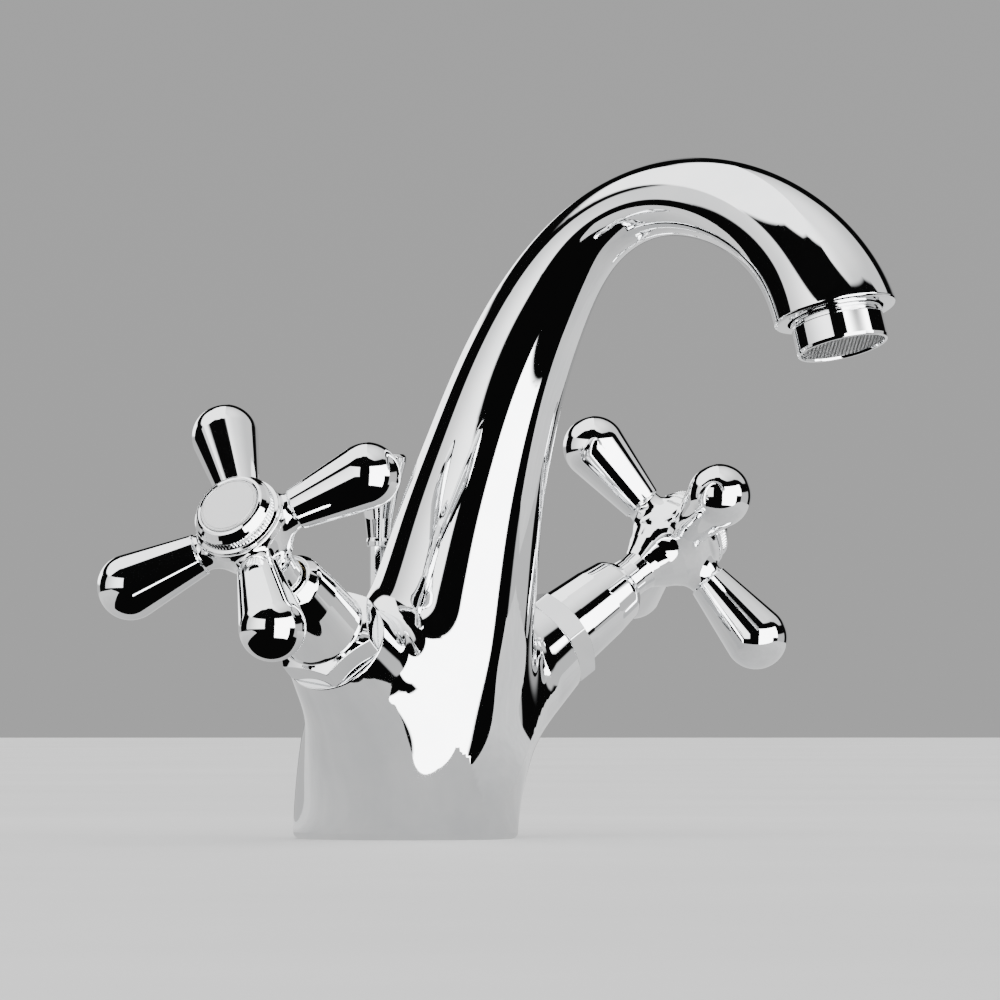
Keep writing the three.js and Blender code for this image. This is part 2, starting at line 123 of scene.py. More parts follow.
# %% Node helpers and the chrome finish
def new_material(name):
    material = bpy.data.materials.new(name)
    material.use_nodes = True
    nodes = material.node_tree.nodes
    return material, nodes, material.node_tree.links, nodes["Principled BSDF"]


def object_space(nodes, links, scale):
    """Object coordinates in mm, times a scale, for patterns of a real size."""
    where = nodes.new("ShaderNodeTexCoord")
    mapping = nodes.new("ShaderNodeMapping")
    mapping.inputs["Scale"].default_value = (scale, scale, scale)
    links.new(where.outputs["Object"], mapping.inputs["Vector"])
    return mapping.outputs["Vector"]


def noise(nodes, links, vector, scale, detail=2.0, roughness=0.5):
    texture = nodes.new("ShaderNodeTexNoise")
    texture.inputs["Scale"].default_value = scale
    texture.inputs["Detail"].default_value = detail
    texture.inputs["Roughness"].default_value = roughness
    links.new(vector, texture.inputs["Vector"])
    return texture.outputs["Fac"]


def remap(nodes, links, value, low, high, to_low, to_high):
    node = nodes.new("ShaderNodeMapRange")
    links.new(value, node.inputs["Value"])
    for socket, number in (("From Min", low), ("From Max", high), ("To Min", to_low), ("To Max", to_high)):
        node.inputs[socket].default_value = number
    return node.outputs["Result"]


def add_bump(nodes, links, shader, height, distance, strength):
    bump = nodes.new("ShaderNodeBump")
    bump.inputs["Strength"].default_value = strength
    bump.inputs["Distance"].default_value = distance
    links.new(height, bump.inputs["Height"])
    links.new(bump.outputs["Normal"], shader.inputs["Normal"])


def colour_between(nodes, links, shader, value, start, dark, end, light):
    """Gives the shader a colour that goes from dark to light as a value goes from start to end."""
    ramp = nodes.new("ShaderNodeValToRGB")
    stops = ramp.color_ramp.elements
    stops[0].position, stops[1].position = start, end
    stops[0].color, stops[1].color = (*dark, 1), (*light, 1)
    links.new(value, ramp.inputs["Fac"])
    links.new(ramp.outputs["Color"], shader.inputs["Base Color"])


def polished_chrome(name, haze=0.03, scale=1.0):
    """Haze is about the mean roughness; scale brings the piece's lengths to millimetres."""
    material, nodes, links, shader = new_material(name)
    vector = object_space(nodes, links, scale)
    shader.inputs["Metallic"].default_value = 1.0
    smudge = noise(nodes, links, vector, 0.09, 3.0, 0.55)
    colour_between(nodes, links, shader, smudge, 0.35, (0.86, 0.875, 0.89), 0.7, (0.93, 0.935, 0.94))
    wiping = noise(nodes, links, vector, 0.35, 5.0, 0.6)
    links.new(remap(nodes, links, wiping, 0.3, 0.75, haze * 0.6, haze * 1.8), shader.inputs["Roughness"])
    return material


chrome = polished_chrome("chrome_plate", 0.02)
print("chrome ready")

# %% [markdown]
# ## Smooth shapes from a distance rule
# The body and the handles are castings: tubes, cones and balls melted into each other with
# soft hollows between. Joining separate meshes with booleans leaves a hard crease at each
# meeting, and rounding it afterwards is fragile. Instead I describe the solid by a rule
# that gives, for any point, roughly how far it is outside the surface. Two rules blend by
# a smooth minimum, and the surface is wherever the rule gives zero. A grid of samples
# finds it, and each corner of the mesh is then slid onto it exactly.

# %% Blending and finding a surface
def blend(a, b, reach):
    """Smooth minimum of two distances. The fillet begins where they differ by less than reach."""
    mix = np.maximum(reach - np.abs(a - b), 0.0) / np.maximum(reach, 1e-6)
    return np.minimum(a, b) - mix**3 * reach / 6.0


def corners(values, i, j, k):
    """The grid's values at one corner of every cell."""
    return values[i : values.shape[0] - 1 + i, j : values.shape[1] - 1 + j, k : values.shape[2] - 1 + k]


def surface_net(values, origin, step):
    """Points and four-sided faces of the surface where values change sign on a grid."""
    inside = values < 0
    eight = [corners(inside, i, j, k) for i in (0, 1) for j in (0, 1) for k in (0, 1)]
    crossed = np.any(eight, axis=0) & ~np.all(eight, axis=0)
    cells = np.argwhere(crossed)
    number = np.full(crossed.shape, -1)
    number[crossed] = np.arange(len(cells))
    total, count = np.zeros((len(cells), 3)), np.zeros(len(cells))
    for axis in range(3):
        along = np.eye(3, dtype=int)[axis]
        others = [a for a in range(3) if a != axis]
        for u in (0, 1):
            for v in (0, 1):
                start = np.zeros(3, int)
                start[others[0]], start[others[1]] = u, v
                a = values[tuple((cells + start).T)]
                b = values[tuple((cells + start + along).T)]
                cut = (a < 0) != (b < 0)
                part = np.where(cut, a / np.where(cut, a - b, 1.0), 0.0)
                total += np.where(cut[:, None], start + along * part[:, None], 0.0)
                count += cut
    points = origin + (cells + total / count[:, None]) * step
    faces = []
    for axis in range(3):
        u, v = [a for a in range(3) if a != axis]
        low = [slice(None)] * 3
        high = [slice(None)] * 3
        low[axis], high[axis] = slice(0, -1), slice(1, None)
        for a in (u, v):
            low[a] = high[a] = slice(1, -1)
        first, second = inside[tuple(low)], inside[tuple(high)]
        where = np.argwhere(first != second)
        going_in = second[tuple(where.T)]
        where = where + np.eye(3, dtype=int)[[u, v]].sum(0)
        ring = []
        for du, dv in ((-1, -1), (0, -1), (0, 0), (-1, 0)):
            cell = where.copy()
            cell[:, u] += du
            cell[:, v] += dv
            ring.append(number[tuple(cell.T)])
        quads = np.stack(ring, 1)
        flip = going_in if axis != 1 else ~going_in
        quads[flip] = quads[flip][:, ::-1]
        faces.append(quads)
    return points, np.concatenate(faces)


def slope(rule, points, step=0.02):
    """Which way the rule grows, by small differences."""
    grown = []
    for axis in range(3):
        shift = np.eye(3)[axis] * step
        grown.append((rule(points + shift) - rule(points - shift)) / (2 * step))
    return np.stack(grown, 1)


def settle(rule, points, faces, rounds=3):
    """Evens out the points along the surface and slides them onto it exactly."""
    edges = np.concatenate([faces[:, [a, (a + 1) % 4]] for a in range(4)])
    edges = np.concatenate([edges, edges[:, ::-1]])
    for step in range(rounds + 2):
        if step < rounds:
            total = np.zeros_like(points)
            count = np.zeros(len(points))
            np.add.at(total, edges[:, 0], points[edges[:, 1]])
            np.add.at(count, edges[:, 0], 1)
            points = 0.5 * points + 0.5 * total / count[:, None]
        grown = slope(rule, points)
        points = points - grown * (rule(points) / np.sum(grown**2, 1))[:, None]
    grown = slope(rule, points)
    return points, grown / np.linalg.norm(grown, axis=1)[:, None]


# %% [markdown]
# ## The body and spout
# The real body is one casting. Its middle line leans forward from an oval base, climbs,
# turns over and comes down to the outlet, and its girth falls along the neck and swells
# again towards the lip. So the rule for it is a row of balls threaded on a smooth line,
# close enough together to be a skin. A cubic spline through a few chosen stations keeps
# even the bending of the line smooth, which a mirror would otherwise betray.

# %% The middle line of the body
# each station: forward (y), up (z) and radius, in mm
STATIONS = [
    (0.0, -26.0, 28.6),
    (0.0, -13.0, 28.6),
    (0.0, 0.0, 28.6),
    (-1.4, 13.0, 28.1),
    (-5.2, 27.0, 26.3),
    (-10.4, 41.0, 23.4),
    (-15.6, 56.0, 20.5),
    (-20.9, 75.0, 17.9),
    (-27.4, 94.0, 15.5),
    (-35.4, 112.7, 13.6),
    (-45.4, 129.5, 11.7),
    (-58.9, 144.2, 9.5),
    (-77.2, 152.9, 8.8),
    (-97.4, 153.4, 9.8),
    (-116.4, 146.9, 11.4),
    (-130.4, 135.9, 13.2),
    (-137.8, 124.1, 14.7),
    (-141.6, 111.2, 15.4),
]


def natural_spline(knots, values, at):
    """Cubic spline through values at knots, read at new places."""
    knots, values = np.asarray(knots, float), np.asarray(values, float)
    gap = np.diff(knots)
    count = len(knots)
    system = np.eye(count)
    right = np.zeros_like(values)
    for i in range(1, count - 1):
        system[i, i - 1 : i + 2] = gap[i - 1], 2 * (gap[i - 1] + gap[i]), gap[i]
        rise = (values[i + 1] - values[i]) / gap[i] - (values[i] - values[i - 1]) / gap[i - 1]
        right[i] = 6 * rise
    bend = np.linalg.solve(system, right)
    i = np.clip(np.searchsorted(knots, at) - 1, 0, count - 2)
    a = (knots[i + 1] - at) / gap[i]
    b = (at - knots[i]) / gap[i]
    if values.ndim > 1:
        a, b, h = a[:, None], b[:, None], gap[i][:, None]
    else:
        h = gap[i]
    curve = a * values[i] + b * values[i + 1]
    return curve + ((a**3 - a) * bend[i] + (b**3 - b) * bend[i + 1]) * h**2 / 6


stations = np.array(STATIONS)
along = np.concatenate([[0], np.cumsum(np.linalg.norm(np.diff(stations[:, :2], axis=0), axis=1))])
beads = natural_spline(along, stations, np.linspace(0, along[-1], 300))
bead_middle = np.stack([np.zeros(len(beads)), beads[:, 0], beads[:, 1]], 1)
bead_radius = beads[:, 2]
print("middle line, mm:", round(along[-1], 1))

# %% [markdown]
# ## The rule for the casting
# For each point I find the bead whose skin is nearest, and refine between beads with a
# parabola so that the skin has no ripple. Each valve boss is a cone about its axis that
# widens into the body, blended in with a fillet that fades out towards the seat, where
# the boss must be truly round to meet the hexagon. A small tower at the back guides the
# lift rod.

# %% Distance rules for neck, bosses and rod tower
BATCH = 4000  # points handled at once, to keep the arrays small
COARSE = 12  # beads skipped in the first, rough search
OVAL = 28.6 / 26.6  # the base is longer along the spout than across
BOSS = {"seat": 13.0, "grows": 0.215, "fillet": 15.0}
TOWER = {"y": 9.0, "radius": 5.4, "top": 56.0, "edge": 0.8, "fillet": 9.0}
seats = {}
for side in ("hot", "cold"):
    origin, axis = valve_place(side)
    seats[side] = np.array(origin + axis * SEAT_HEIGHT), np.array(axis)


def neck_rule(points):
    seen = points.copy()
    seen[:, 0] *= OVAL + (1 - OVAL) * np.clip(points[:, 2] / 60.0, 0, 1)
    result = np.empty(len(points))
    window = np.arange(-COARSE, COARSE + 1)
    for start in range(0, len(points), BATCH):
        part = seen[start : start + BATCH]
        rough = np.linalg.norm(part[:, None] - bead_middle[None, ::COARSE], axis=2) - bead_radius[::COARSE]
        near = np.clip(np.argmin(rough, 1)[:, None] * COARSE + window, 0, len(bead_radius) - 1)
        gap = np.linalg.norm(part[:, None] - bead_middle[near], axis=2) - bead_radius[near]
        best = np.clip(np.argmin(gap, 1), 1, gap.shape[1] - 2)
        row = np.arange(len(part))
        low, mid, high = gap[row, best - 1], gap[row, best], gap[row, best + 1]
        bow = np.maximum(high - 2 * mid + low, 1e-6)
        share = np.clip((low - high) / (2 * bow), -0.5, 0.5)
        result[start : start + BATCH] = mid + share * (high - low) / 2 + share**2 * bow / 2
    return result


def boss_rule(points, seat, axis):
    local = points - seat
    height = local @ axis
    off_axis = np.sqrt(np.maximum(np.sum(local**2, 1) - height**2, 1e-9))
    radius = BOSS["seat"] + BOSS["grows"] * np.maximum(-height, -6)
    cone = (off_axis - radius) / math.hypot(1, BOSS["grows"])
    return np.maximum(cone, np.maximum(height - 5.0, -height - 46.0)), height


def body_rule(points):
    shape = neck_rule(points)
    out = np.hypot(points[:, 0], points[:, 1] - TOWER["y"]) - TOWER["radius"] + TOWER["edge"]
    over = points[:, 2] - TOWER["top"] + TOWER["edge"]
    tower = np.hypot(np.maximum(out, 0), np.maximum(over, 0)) + np.minimum(np.maximum(out, over), 0)
    tower = np.maximum(tower - TOWER["edge"], 10.0 - points[:, 2])
    fade = np.clip((TOWER["top"] - points[:, 2]) / 12.0, 0, 1)
    shape = blend(shape, tower, TOWER["fillet"] * fade + 0.01)
    for seat, axis in seats.values():
        boss, height = boss_rule(points, seat, axis)
        fade = np.clip(-height / 13.0, 0, 1)
        fade = fade * fade * (3 - 2 * fade)
        shape = blend(shape, boss, BOSS["fillet"] * fade + 0.01)
    return shape


def sample_near(rule, low, high, step, block=4):
    """Samples a rule on a grid, finely only where the surface may pass."""
    low, high = np.asarray(low, float), np.asarray(high, float)
    blocks = np.ceil((high - low) / (step * block)).astype(int)
    values = np.empty(blocks * block + 1)
    centres = np.stack(np.meshgrid(*[np.arange(n) for n in blocks], indexing="ij"), -1).reshape(-1, 3)
    middle = rule(low + (centres + 0.5) * block * step)
    coarse = middle.reshape(blocks)
    for axis in range(3):
        coarse = np.repeat(coarse, block, axis)
    values[:] = np.pad(coarse, [(0, 1)] * 3, mode="edge")
    near = centres[np.abs(middle) < block * step * 1.3]
    steps = np.stack(np.meshgrid(*[np.arange(block + 1)] * 3, indexing="ij"), -1).reshape(-1, 3)
    index = (near[:, None] * block + steps[None]).reshape(-1, 3)
    values[tuple(index.T)] = rule(low + index * step)
    return values, low


values, origin = sample_near(body_rule, (-62, -168, -6), (62, 36, 170), 1.0)
body_points, body_faces = surface_net(values, origin, 1.0)
body_points, body_normals = settle(body_rule, body_points, body_faces)
print("casting before trimming:", len(body_points), "points")

# %% [markdown]
# ## Trimming the casting
# The blended skin runs past the base, the two seats and the outlet. On the real casting
# those four ends are machined flat, and the edge left by the cutter is broken with a
# small round. I slice the skin with a plane a little short of each end, and lay rings of
# points on from the cut: round the edge, then in across the flat, then down the hole.

# %% Laying rings on from a rim
def lay_rings(mesh, loop, rings):
    """Skins from a loop of points through further rings of places, one ring at a time."""
    edge = next(e for e in loop[0].link_edges if e.other_vert(loop[0]) is loop[1])
    forwards = edge.link_loops[0].vert is loop[0]
    for places in rings:
        new = [mesh.verts.new(place) for place in places]
        for i in range(len(loop)):
            j = (i + 1) % len(loop)
            quad = [loop[j], loop[i], new[i], new[j]] if forwards else [loop[i], loop[j], new[j], new[i]]
            mesh.faces.new(quad)
        loop = new
    return loop


def close_hole(mesh, loop, centre):
    """Closes the last ring with a fan to its middle, facing the way the rings do."""
    edge = next(e for e in loop[0].link_edges if e.other_vert(loop[0]) is loop[1])
    forwards = edge.link_loops[0].vert is loop[0]
    tip = mesh.verts.new(centre)
    for i in range(len(loop)):
        j = (i + 1) % len(loop)
        mesh.faces.new([loop[j], loop[i], tip] if forwards else [loop[i], loop[j], tip])


# %% [markdown]
# ## Machined ends
# A ring of the finished end is given by how far in it sits from the rim and how high it
# stands above the cut. Further in, the rim's own outline changes into a true circle, as
# the bored hole is round whatever the casting around it does.

# %% Rounded edge, flat and bore
def end_rings(loop, centre, axis, edge, bore, depth, oval):
    """Rings for a machined end: rounded edge, flat face, and a bore of the given depth."""
    centre, axis = Vector(centre), Vector(axis)
    offsets = [v.co - centre for v in loop]
    offsets = [o - axis * o.dot(axis) for o in offsets]
    rings = []
    steps = 5
    for i in range(1, steps + 1):
        angle = math.pi / 2 * i / steps
        inset, rise = edge * (1 - math.cos(angle)), edge * math.sin(angle)
        rings.append([centre + o * (1 - inset / o.length) + axis * rise for o in offsets])
    for share in (0.3, 0.75, 1.0):
        ring = []
        for o in offsets:
            round_place = o.normalized() * bore
            round_place = Vector([a * b for a, b in zip(round_place, oval)])
            outer = o * (1 - edge / o.length)
            ring.append(centre + outer.lerp(round_place, share) + axis * edge)
        rings.append(ring)
    inner = rings[-1]
    for share in (0.02, 0.3, 1.0):
        rings.append([place - axis * depth * share for place in inner])
    return rings


# %% Slice, finish the four ends, and make the body
RECESS = (20.0, 22.4, 1.0)  # half widths of the hollow under the base, mm
SPOUT_TILT = math.radians(16.4)
OUTLET = Vector((0, -math.sin(SPOUT_TILT), -math.cos(SPOUT_TILT)))
LIP = Vector((0, -137.8, 124.1))
DOWN = Vector((0, 0, -1))
ENDS = [  # centre, axis, edge round, bore, bore depth, oval, how far off the cut may reach
    (Vector((0, 0, 0)), DOWN, 1.6, 1.0, 11.5, RECESS, 42),
    (LIP, OUTLET, 0.8, 11.6, 8.5, (1.0, 1.0, 1.0), 36),
]
for seat, axis in seats.values():
    ENDS.append((Vector(seat), Vector(axis), 0.5, 9.5, 18.0, (1.0, 1.0, 1.0), 20))


def slice_off(mesh, point, outward, reach):
    """Removes what lies beyond a plane near a point, and returns the new rim in order."""
    near = {v for v in mesh.verts if (v.co - point).length < reach}
    edges = [e for e in mesh.edges if e.verts[0] in near and e.verts[1] in near]
    faces = [f for f in mesh.faces if all(v in near for v in f.verts)]
    bmesh.ops.bisect_plane(
        mesh, geom=[*near, *edges, *faces], dist=1e-3, plane_co=point, plane_no=outward, clear_outer=True
    )
    rim = []
    for edge in mesh.edges:
        if edge.is_boundary and all(
            abs((v.co - point).dot(outward)) < 5e-3 and (v.co - point).length < reach for v in edge.verts
        ):
            rim.append(edge)
    neighbours = {}
    for edge in rim:
        a, b = edge.verts
        neighbours.setdefault(a, []).append(b)
        neighbours.setdefault(b, []).append(a)
    start = rim[0].verts[0]
    loop, here = [start], neighbours[start][0]
    while here is not start:
        loop.append(here)
        here = next(v for v in neighbours[here] if v is not loop[-2])
    return loop


casting = bmesh.new()
skin = [casting.verts.new(point) for point in body_points]
for face in body_faces:
    casting.faces.new([skin[i] for i in face])
casting.verts.index_update()
for centre, axis, edge, bore, depth, oval, reach in ENDS:
    rim = slice_off(casting, centre - axis * edge, axis, reach)
    rings = end_rings(rim, centre - axis * edge, axis, edge, bore, depth, oval)
    last = lay_rings(casting, rim, rings)
    close_hole(casting, last, centre - axis * depth)
casting.normal_update()
casting.verts.index_update()
finished = np.array([v.co for v in casting.verts])
on_skin = np.abs(body_rule(finished)) < 5e-3
facing = np.zeros_like(finished)
facing[on_skin] = slope(body_rule, finished[on_skin])
for vertex in casting.verts:
    if not on_skin[vertex.index]:
        facing[vertex.index] = sum((f.normal * f.calc_area() for f in vertex.link_faces), Vector())
facing /= np.linalg.norm(facing, axis=1)[:, None]
casting_faces = [[v.index for v in f.verts] for f in casting.faces]
casting.free()
make_piece(
    "body_casting", finished, casting_faces, chrome, "body", ["faucet_body"], normals=facing
)

# %% [markdown]
# ## Turned pieces
# Caps, discs, the knob and the rod's bush are all turned on a lathe, so each is drawn as
# half of its section and spun. No edge on a turned part is truly sharp, and a mirror
# finish shows every break as a thin bright line. So each corner of the section carries
# its own small round, and the flats between stay flat in the shading because the normals
# are weighted by area.

# %% Rounding the corners of a section
def rounded(section, closed, steps=4):
    """Replaces each corner (radius, height, round) of a section by a small arc."""
    count = len(section)
    points = []
    for i, (x, z, size) in enumerate(section):
        here = np.array([x, z], float)
        if size <= 0 or (not closed and i in (0, count - 1)):
            points.append(here)
            continue
        back = np.array(section[i - 1][:2], float) - here
        ahead = np.array(section[(i + 1) % count][:2], float) - here
        to_back, to_ahead = np.linalg.norm(back), np.linalg.norm(ahead)
        back, ahead = back / to_back, ahead / to_ahead
        half = math.acos(float(np.clip(back @ ahead, -1, 1))) / 2
        reach = min(size / math.tan(half), 0.45 * to_back, 0.45 * to_ahead)
        size = reach * math.tan(half)
        middle = (back + ahead) / np.linalg.norm(back + ahead)
        centre = here + middle * size / math.sin(half)
        start, end = here + back * reach - centre, here + ahead * reach - centre
        first = math.atan2(start[1], start[0])
        turn = (math.atan2(end[1], end[0]) - first + math.pi) % (2 * math.pi) - math.pi
        for j in range(steps + 1):
            angle = first + turn * j / steps
            points.append(centre + size * np.array([math.cos(angle), math.sin(angle)]))
    return np.array(points)


# %% Spinning a section
def spin(outline, sides, closed, shape=None):
    """Points and faces of an outline spun round Z. Shape may shift the radii of a ring."""
    angles = np.arange(sides) * 2 * np.pi / sides
    points, rings = [], []
    for radius, height in outline:
        if radius < 1e-6:
            rings.append([len(points)])
            points.append((0.0, 0.0, height))
            continue
        rings.append(range(len(points), len(points) + sides))
        reach = np.full(sides, radius) if shape is None else shape(radius, height, angles)
        points.extend(np.stack([reach * np.cos(angles), reach * np.sin(angles), angles * 0 + height], 1))
    faces = []
    for low, high in list(zip(rings, rings[1:])) + ([(rings[-1], rings[0])] if closed else []):
        for i in range(sides):
            j = (i + 1) % sides
            if len(low) == 1:
                faces.append([low[0], high[j], high[i]])
            elif len(high) == 1:
                faces.append([low[i], low[j], high[0]])
            else:
                faces.append([low[i], low[j], high[j], high[i]])
    return np.array(points, float), facing_out(np.array(points, float), faces)


def facing_out(points, faces):
    """Turns all the faces round if the volume that they hold comes out negative."""
    volume = 0.0
    for face in faces:
        for a, b in zip(face[1:], face[2:]):
            volume += np.dot(points[face[0]], np.cross(points[a], points[b]))
    return faces if volume > 0 else [face[::-1] for face in faces]


def keep_flats_flat(piece):
    weight = piece.modifiers.new("weighted_normals", "WEIGHTED_NORMAL")
    weight.mode = "FACE_AREA"
    weight.weight = 60
    return piece


def turned_piece(name, section, finish, body, stands_for=(), place=None, sides=96, shape=None):
    """A turned piece. A section that starts on the axis is solid, and any other is a ring."""
    closed = section[0][0] > 1e-6
    points, faces = spin(rounded(section, closed), sides, closed, shape)
    return keep_flats_flat(make_piece(name, points, faces, finish, body, stands_for, place))


# %% [markdown]
# ## The valve covers
# Between body and handle sits a chromed cover: a hexagon that a spanner can grip, its top
# corners turned off in a shallow cone so that each flat ends in an arc, and above it a
# round barrel that closes in over the spindle. A hexagon is not a turned shape, but it is
# close to one: at every angle the section is the same except for how far out the flat
# lies. So I spin the section and let that one radius vary.

# %% Hexagon and barrel
HEX_FLATS = 23.0
HEX_FOOT = SEAT_HEIGHT + 0.2
HEX_TOP = HEX_FOOT + 6.3
COVER_SIDES = 360
HEX_TURN = {"hot": 19.5, "cold": 22.5}  # degrees, as the spanner left them


def hexagon_reach(angles):
    """How far a hexagon's side lies from the middle, its corners a little softened."""
    sixth = math.pi / 3
    distances = [np.maximum(np.cos(angles - k * sixth), 0) for k in range(6)]
    sharpness = 90
    return HEX_FLATS / 2 / np.sum([d**sharpness for d in distances], 0) ** (1 / sharpness)


def valve_cover(side):
    angles = np.arange(COVER_SIDES) * 2 * np.pi / COVER_SIDES
    columns = []
    for reach in hexagon_reach(angles):
        top = HEX_TOP - 0.6 * max(reach - 11.3, 0)
        section = [
            (5.7, 20.9, 0.2), (6.5, 21.2, 0.5), (8.4, 18.8, 3.0), (9.4, 12.0, 9.0), (10.2, 2.0, 9.0),
            (10.35, HEX_TOP + 0.3, 0.35), (11.1, HEX_TOP, 0.1), (reach, top, 0.3), (reach, HEX_FOOT, 0.3),
            (9.6, HEX_FOOT, 0.2), (9.6, 3.0, 0.2), (8.1, 5.0, 0.2), (8.1, 16.0, 0.5), (5.7, 18.2, 0.3),
        ]
        columns.append(rounded(section, True))
    columns = np.array(columns)
    count = columns.shape[1]
    turned = np.stack([np.cos(angles), np.sin(angles)], 1)
    across = columns[:, :, :1] * turned[:, None]
    points = np.concatenate([across, columns[:, :, 1:]], 2).reshape(-1, 3)
    faces = []
    for i in range(COVER_SIDES):
        k = (i + 1) % COVER_SIDES
        for j in range(count):
            n = (j + 1) % count
            faces.append([i * count + j, i * count + n, k * count + n, k * count + j])
    place = valve_matrix(side) @ Matrix.Rotation(math.radians(HEX_TURN[side]), 4, "Z")
    faces = facing_out(points, faces)
    stands_for = [side + "_shroud"]
    keep_flats_flat(
        make_piece(side + "_valve_cover", points, faces, chrome, "body", stands_for, place)
    )


for side in ("hot", "cold"):
    valve_cover(side)

# %% [markdown]
# ## The cross handles
# Each handle is one casting too: a bell-shaped hub on a slim stem, a flat flange on top,
# and four arms that swell from a collared root into a ball. The hub's softly square shape
# comes by itself when four round necks melt into a bell, so the distance rule is right
# here again. The collar is the one place where the blend is nearly sharp, because that is
# where the arm's turned shape was dressed up to the hub.

# %% Distance rules for outlines and round-ended cones
def outline_rule(across, up, corners):
    """Signed distance to a closed outline given by its radii and heights."""
    nearest = np.full(across.shape, 1e9)
    inside = np.zeros(across.shape, bool)
    for (x0, z0), (x1, z1) in zip(corners, np.roll(corners, -1, axis=0)):
        ex, ez = x1 - x0, z1 - z0
        share = np.clip(((across - x0) * ex + (up - z0) * ez) / (ex * ex + ez * ez), 0, 1)
        nearest = np.minimum(nearest, np.hypot(across - x0 - share * ex, up - z0 - share * ez))
        passes = (z0 > up) != (z1 > up)
        at = x0 + (up - z0) * ex / (ez if ez else 1.0)
        inside ^= passes & (across < at)
    return np.where(inside, -nearest, nearest)


def round_cone(along, off, length, start_radius, end_radius):
    """Distance to the skin round two balls and all the sizes between them."""
    lean = (start_radius - end_radius) / length
    upright = math.sqrt(1 - lean * lean)
    share = upright * along - lean * off
    first = np.hypot(along, off) - start_radius
    last = np.hypot(along - length, off) - end_radius
    middle = upright * off + lean * along - start_radius
    return np.where(share < 0, first, np.where(share > upright * length, last, middle))


# %% The rule for a handle
ARM = {"root": 5.2, "root_at": 14.0, "ball": 8.0, "reach": 31.6}
BELL = np.array([
    (0.0, -22.0), (4.6, -22.0), (4.3, -16.0), (4.6, -13.0), (5.6, -11.0), (7.2, -8.4),
    (8.3, -5.4), (8.8, -2.0), (9.0, 2.0), (0.0, 2.0),
])
BELL_ROUND = 0.6
NECK = {"radius": 4.3, "end": 14.4, "fillet": 7.0}
FLANGE = {"radius": 10.9, "low": 2.9, "high": 5.2, "edge": 0.5}


def flange_rule(across, up):
    middle, thick = (FLANGE["high"] + FLANGE["low"]) / 2, (FLANGE["high"] - FLANGE["low"]) / 2
    out = across - FLANGE["radius"] + FLANGE["edge"]
    over = np.abs(up - middle) - thick + FLANGE["edge"]
    corner = np.hypot(np.maximum(out, 0), np.maximum(over, 0)) - FLANGE["edge"]
    return corner + np.minimum(np.maximum(out, over), 0)


def handle_rule(points):
    across, up = np.hypot(points[:, 0], points[:, 1]), points[:, 2]
    hub = outline_rule(across, up, BELL) - BELL_ROUND
    arms = np.full(len(points), 1e9)
    for k in range(4):
        turned = Matrix.Rotation(k * math.pi / 2, 2)
        along = points[:, 0] * turned[0][0] + points[:, 1] * turned[1][0]
        beside = points[:, 0] * turned[0][1] + points[:, 1] * turned[1][1]
        off = np.sqrt(beside**2 + up**2 + 1e-9)
        neck = np.maximum(off - NECK["radius"], np.maximum(along - NECK["end"], -along))
        hub = blend(hub, neck, NECK["fillet"])
        length = ARM["reach"] - ARM["root_at"]
        arm = round_cone(along - ARM["root_at"], off, length, ARM["root"], ARM["ball"])
        arms = np.minimum(arms, np.maximum(arm, ARM["root_at"] - 1.2 - along))
    return blend(blend(hub, arms, 1.0), flange_rule(across, up), 1.4)


# %% The handle's surface, and both handles
HANDLE_GRID = 0.5
ARM_START = {"hot": 29.4, "cold": 65.5}  # degrees from level, seen along the valve's axis

values, origin = sample_near(handle_rule, (-41, -41, -24), (41, 41, 9), HANDLE_GRID)
cross_points, cross_faces = surface_net(values, origin, HANDLE_GRID)
cross_points, cross_normals = settle(handle_rule, cross_points, cross_faces, 2)
for side in ("hot", "cold"):
    # the points themselves are turned into place, which keeps the box round each cross tight
    place = valve_matrix(side, HUB_HEIGHT) @ Matrix.Rotation(math.radians(ARM_START[side]), 4, "Z")
    turned = np.array(Matrix.Scale(1 / MM, 4) @ place)
    spin_part = turned[:3, :3].T
    make_piece(
        side + "_cross", cross_points @ spin_part + turned[:3, 3], cross_faces, chrome,
        side + "_handle", [side + "_handle_cross"], None, cross_normals @ spin_part,
    )

# %% [markdown]
# ## Index caps
# A screwed cap closes the middle of each handle. Its rim is rope-knurled so that a thumb
# can turn it, above the knurl it is bevelled, and a flat satin disc sits in the top. On
# such a tap the disc tells hot from cold; this one is left blank. The knurl is real
# geometry: the radius of each ring swings in and out round the rim, and the swing is
# shifted a little from ring to ring, which slants the teeth.

# %% Caps with a rope knurl
KNURL = {"teeth": 72, "depth": 0.32, "low": 6.75, "high": 8.75, "slant": 0.9}
CAP_SIDES = KNURL["teeth"] * 8


def knurled(radius, height, angles):
    inside = KNURL["low"] < height < KNURL["high"] and radius > 9.4
    if not inside:
        return np.full(len(angles), radius)
    share = (height - KNURL["low"]) / (KNURL["high"] - KNURL["low"])
    swing = np.cos(KNURL["teeth"] * angles + share * KNURL["slant"] * math.pi)
    fade = min(1.0, 5 * min(share, 1 - share))
    return radius - KNURL["depth"] * fade * (0.5 - 0.5 * swing) ** 0.7


def index_cap(side):
    band = [(9.9, float(z), 0.0) for z in np.linspace(KNURL["low"], KNURL["high"], 11)]
    section = [
        (7.45, 5.3, 0.1), (10.7, 5.3, 0.15), (10.8, 5.8, 0.15), (10.75, 6.25, 0.15), (9.95, 6.55, 0.1),
        *band, (9.75, 8.95, 0.1), (9.3, 9.5, 0.15), (8.5, 10.7, 0.5), (7.9, 11.0, 0.15), (7.45, 10.75, 0.1),
    ]
    turned_piece(
        side + "_cap", section, chrome, side + "_handle", [side + "_index_cap"],
        valve_matrix(side, HUB_HEIGHT), CAP_SIDES, knurled,
    )


for side in ("hot", "cold"):
    index_cap(side)

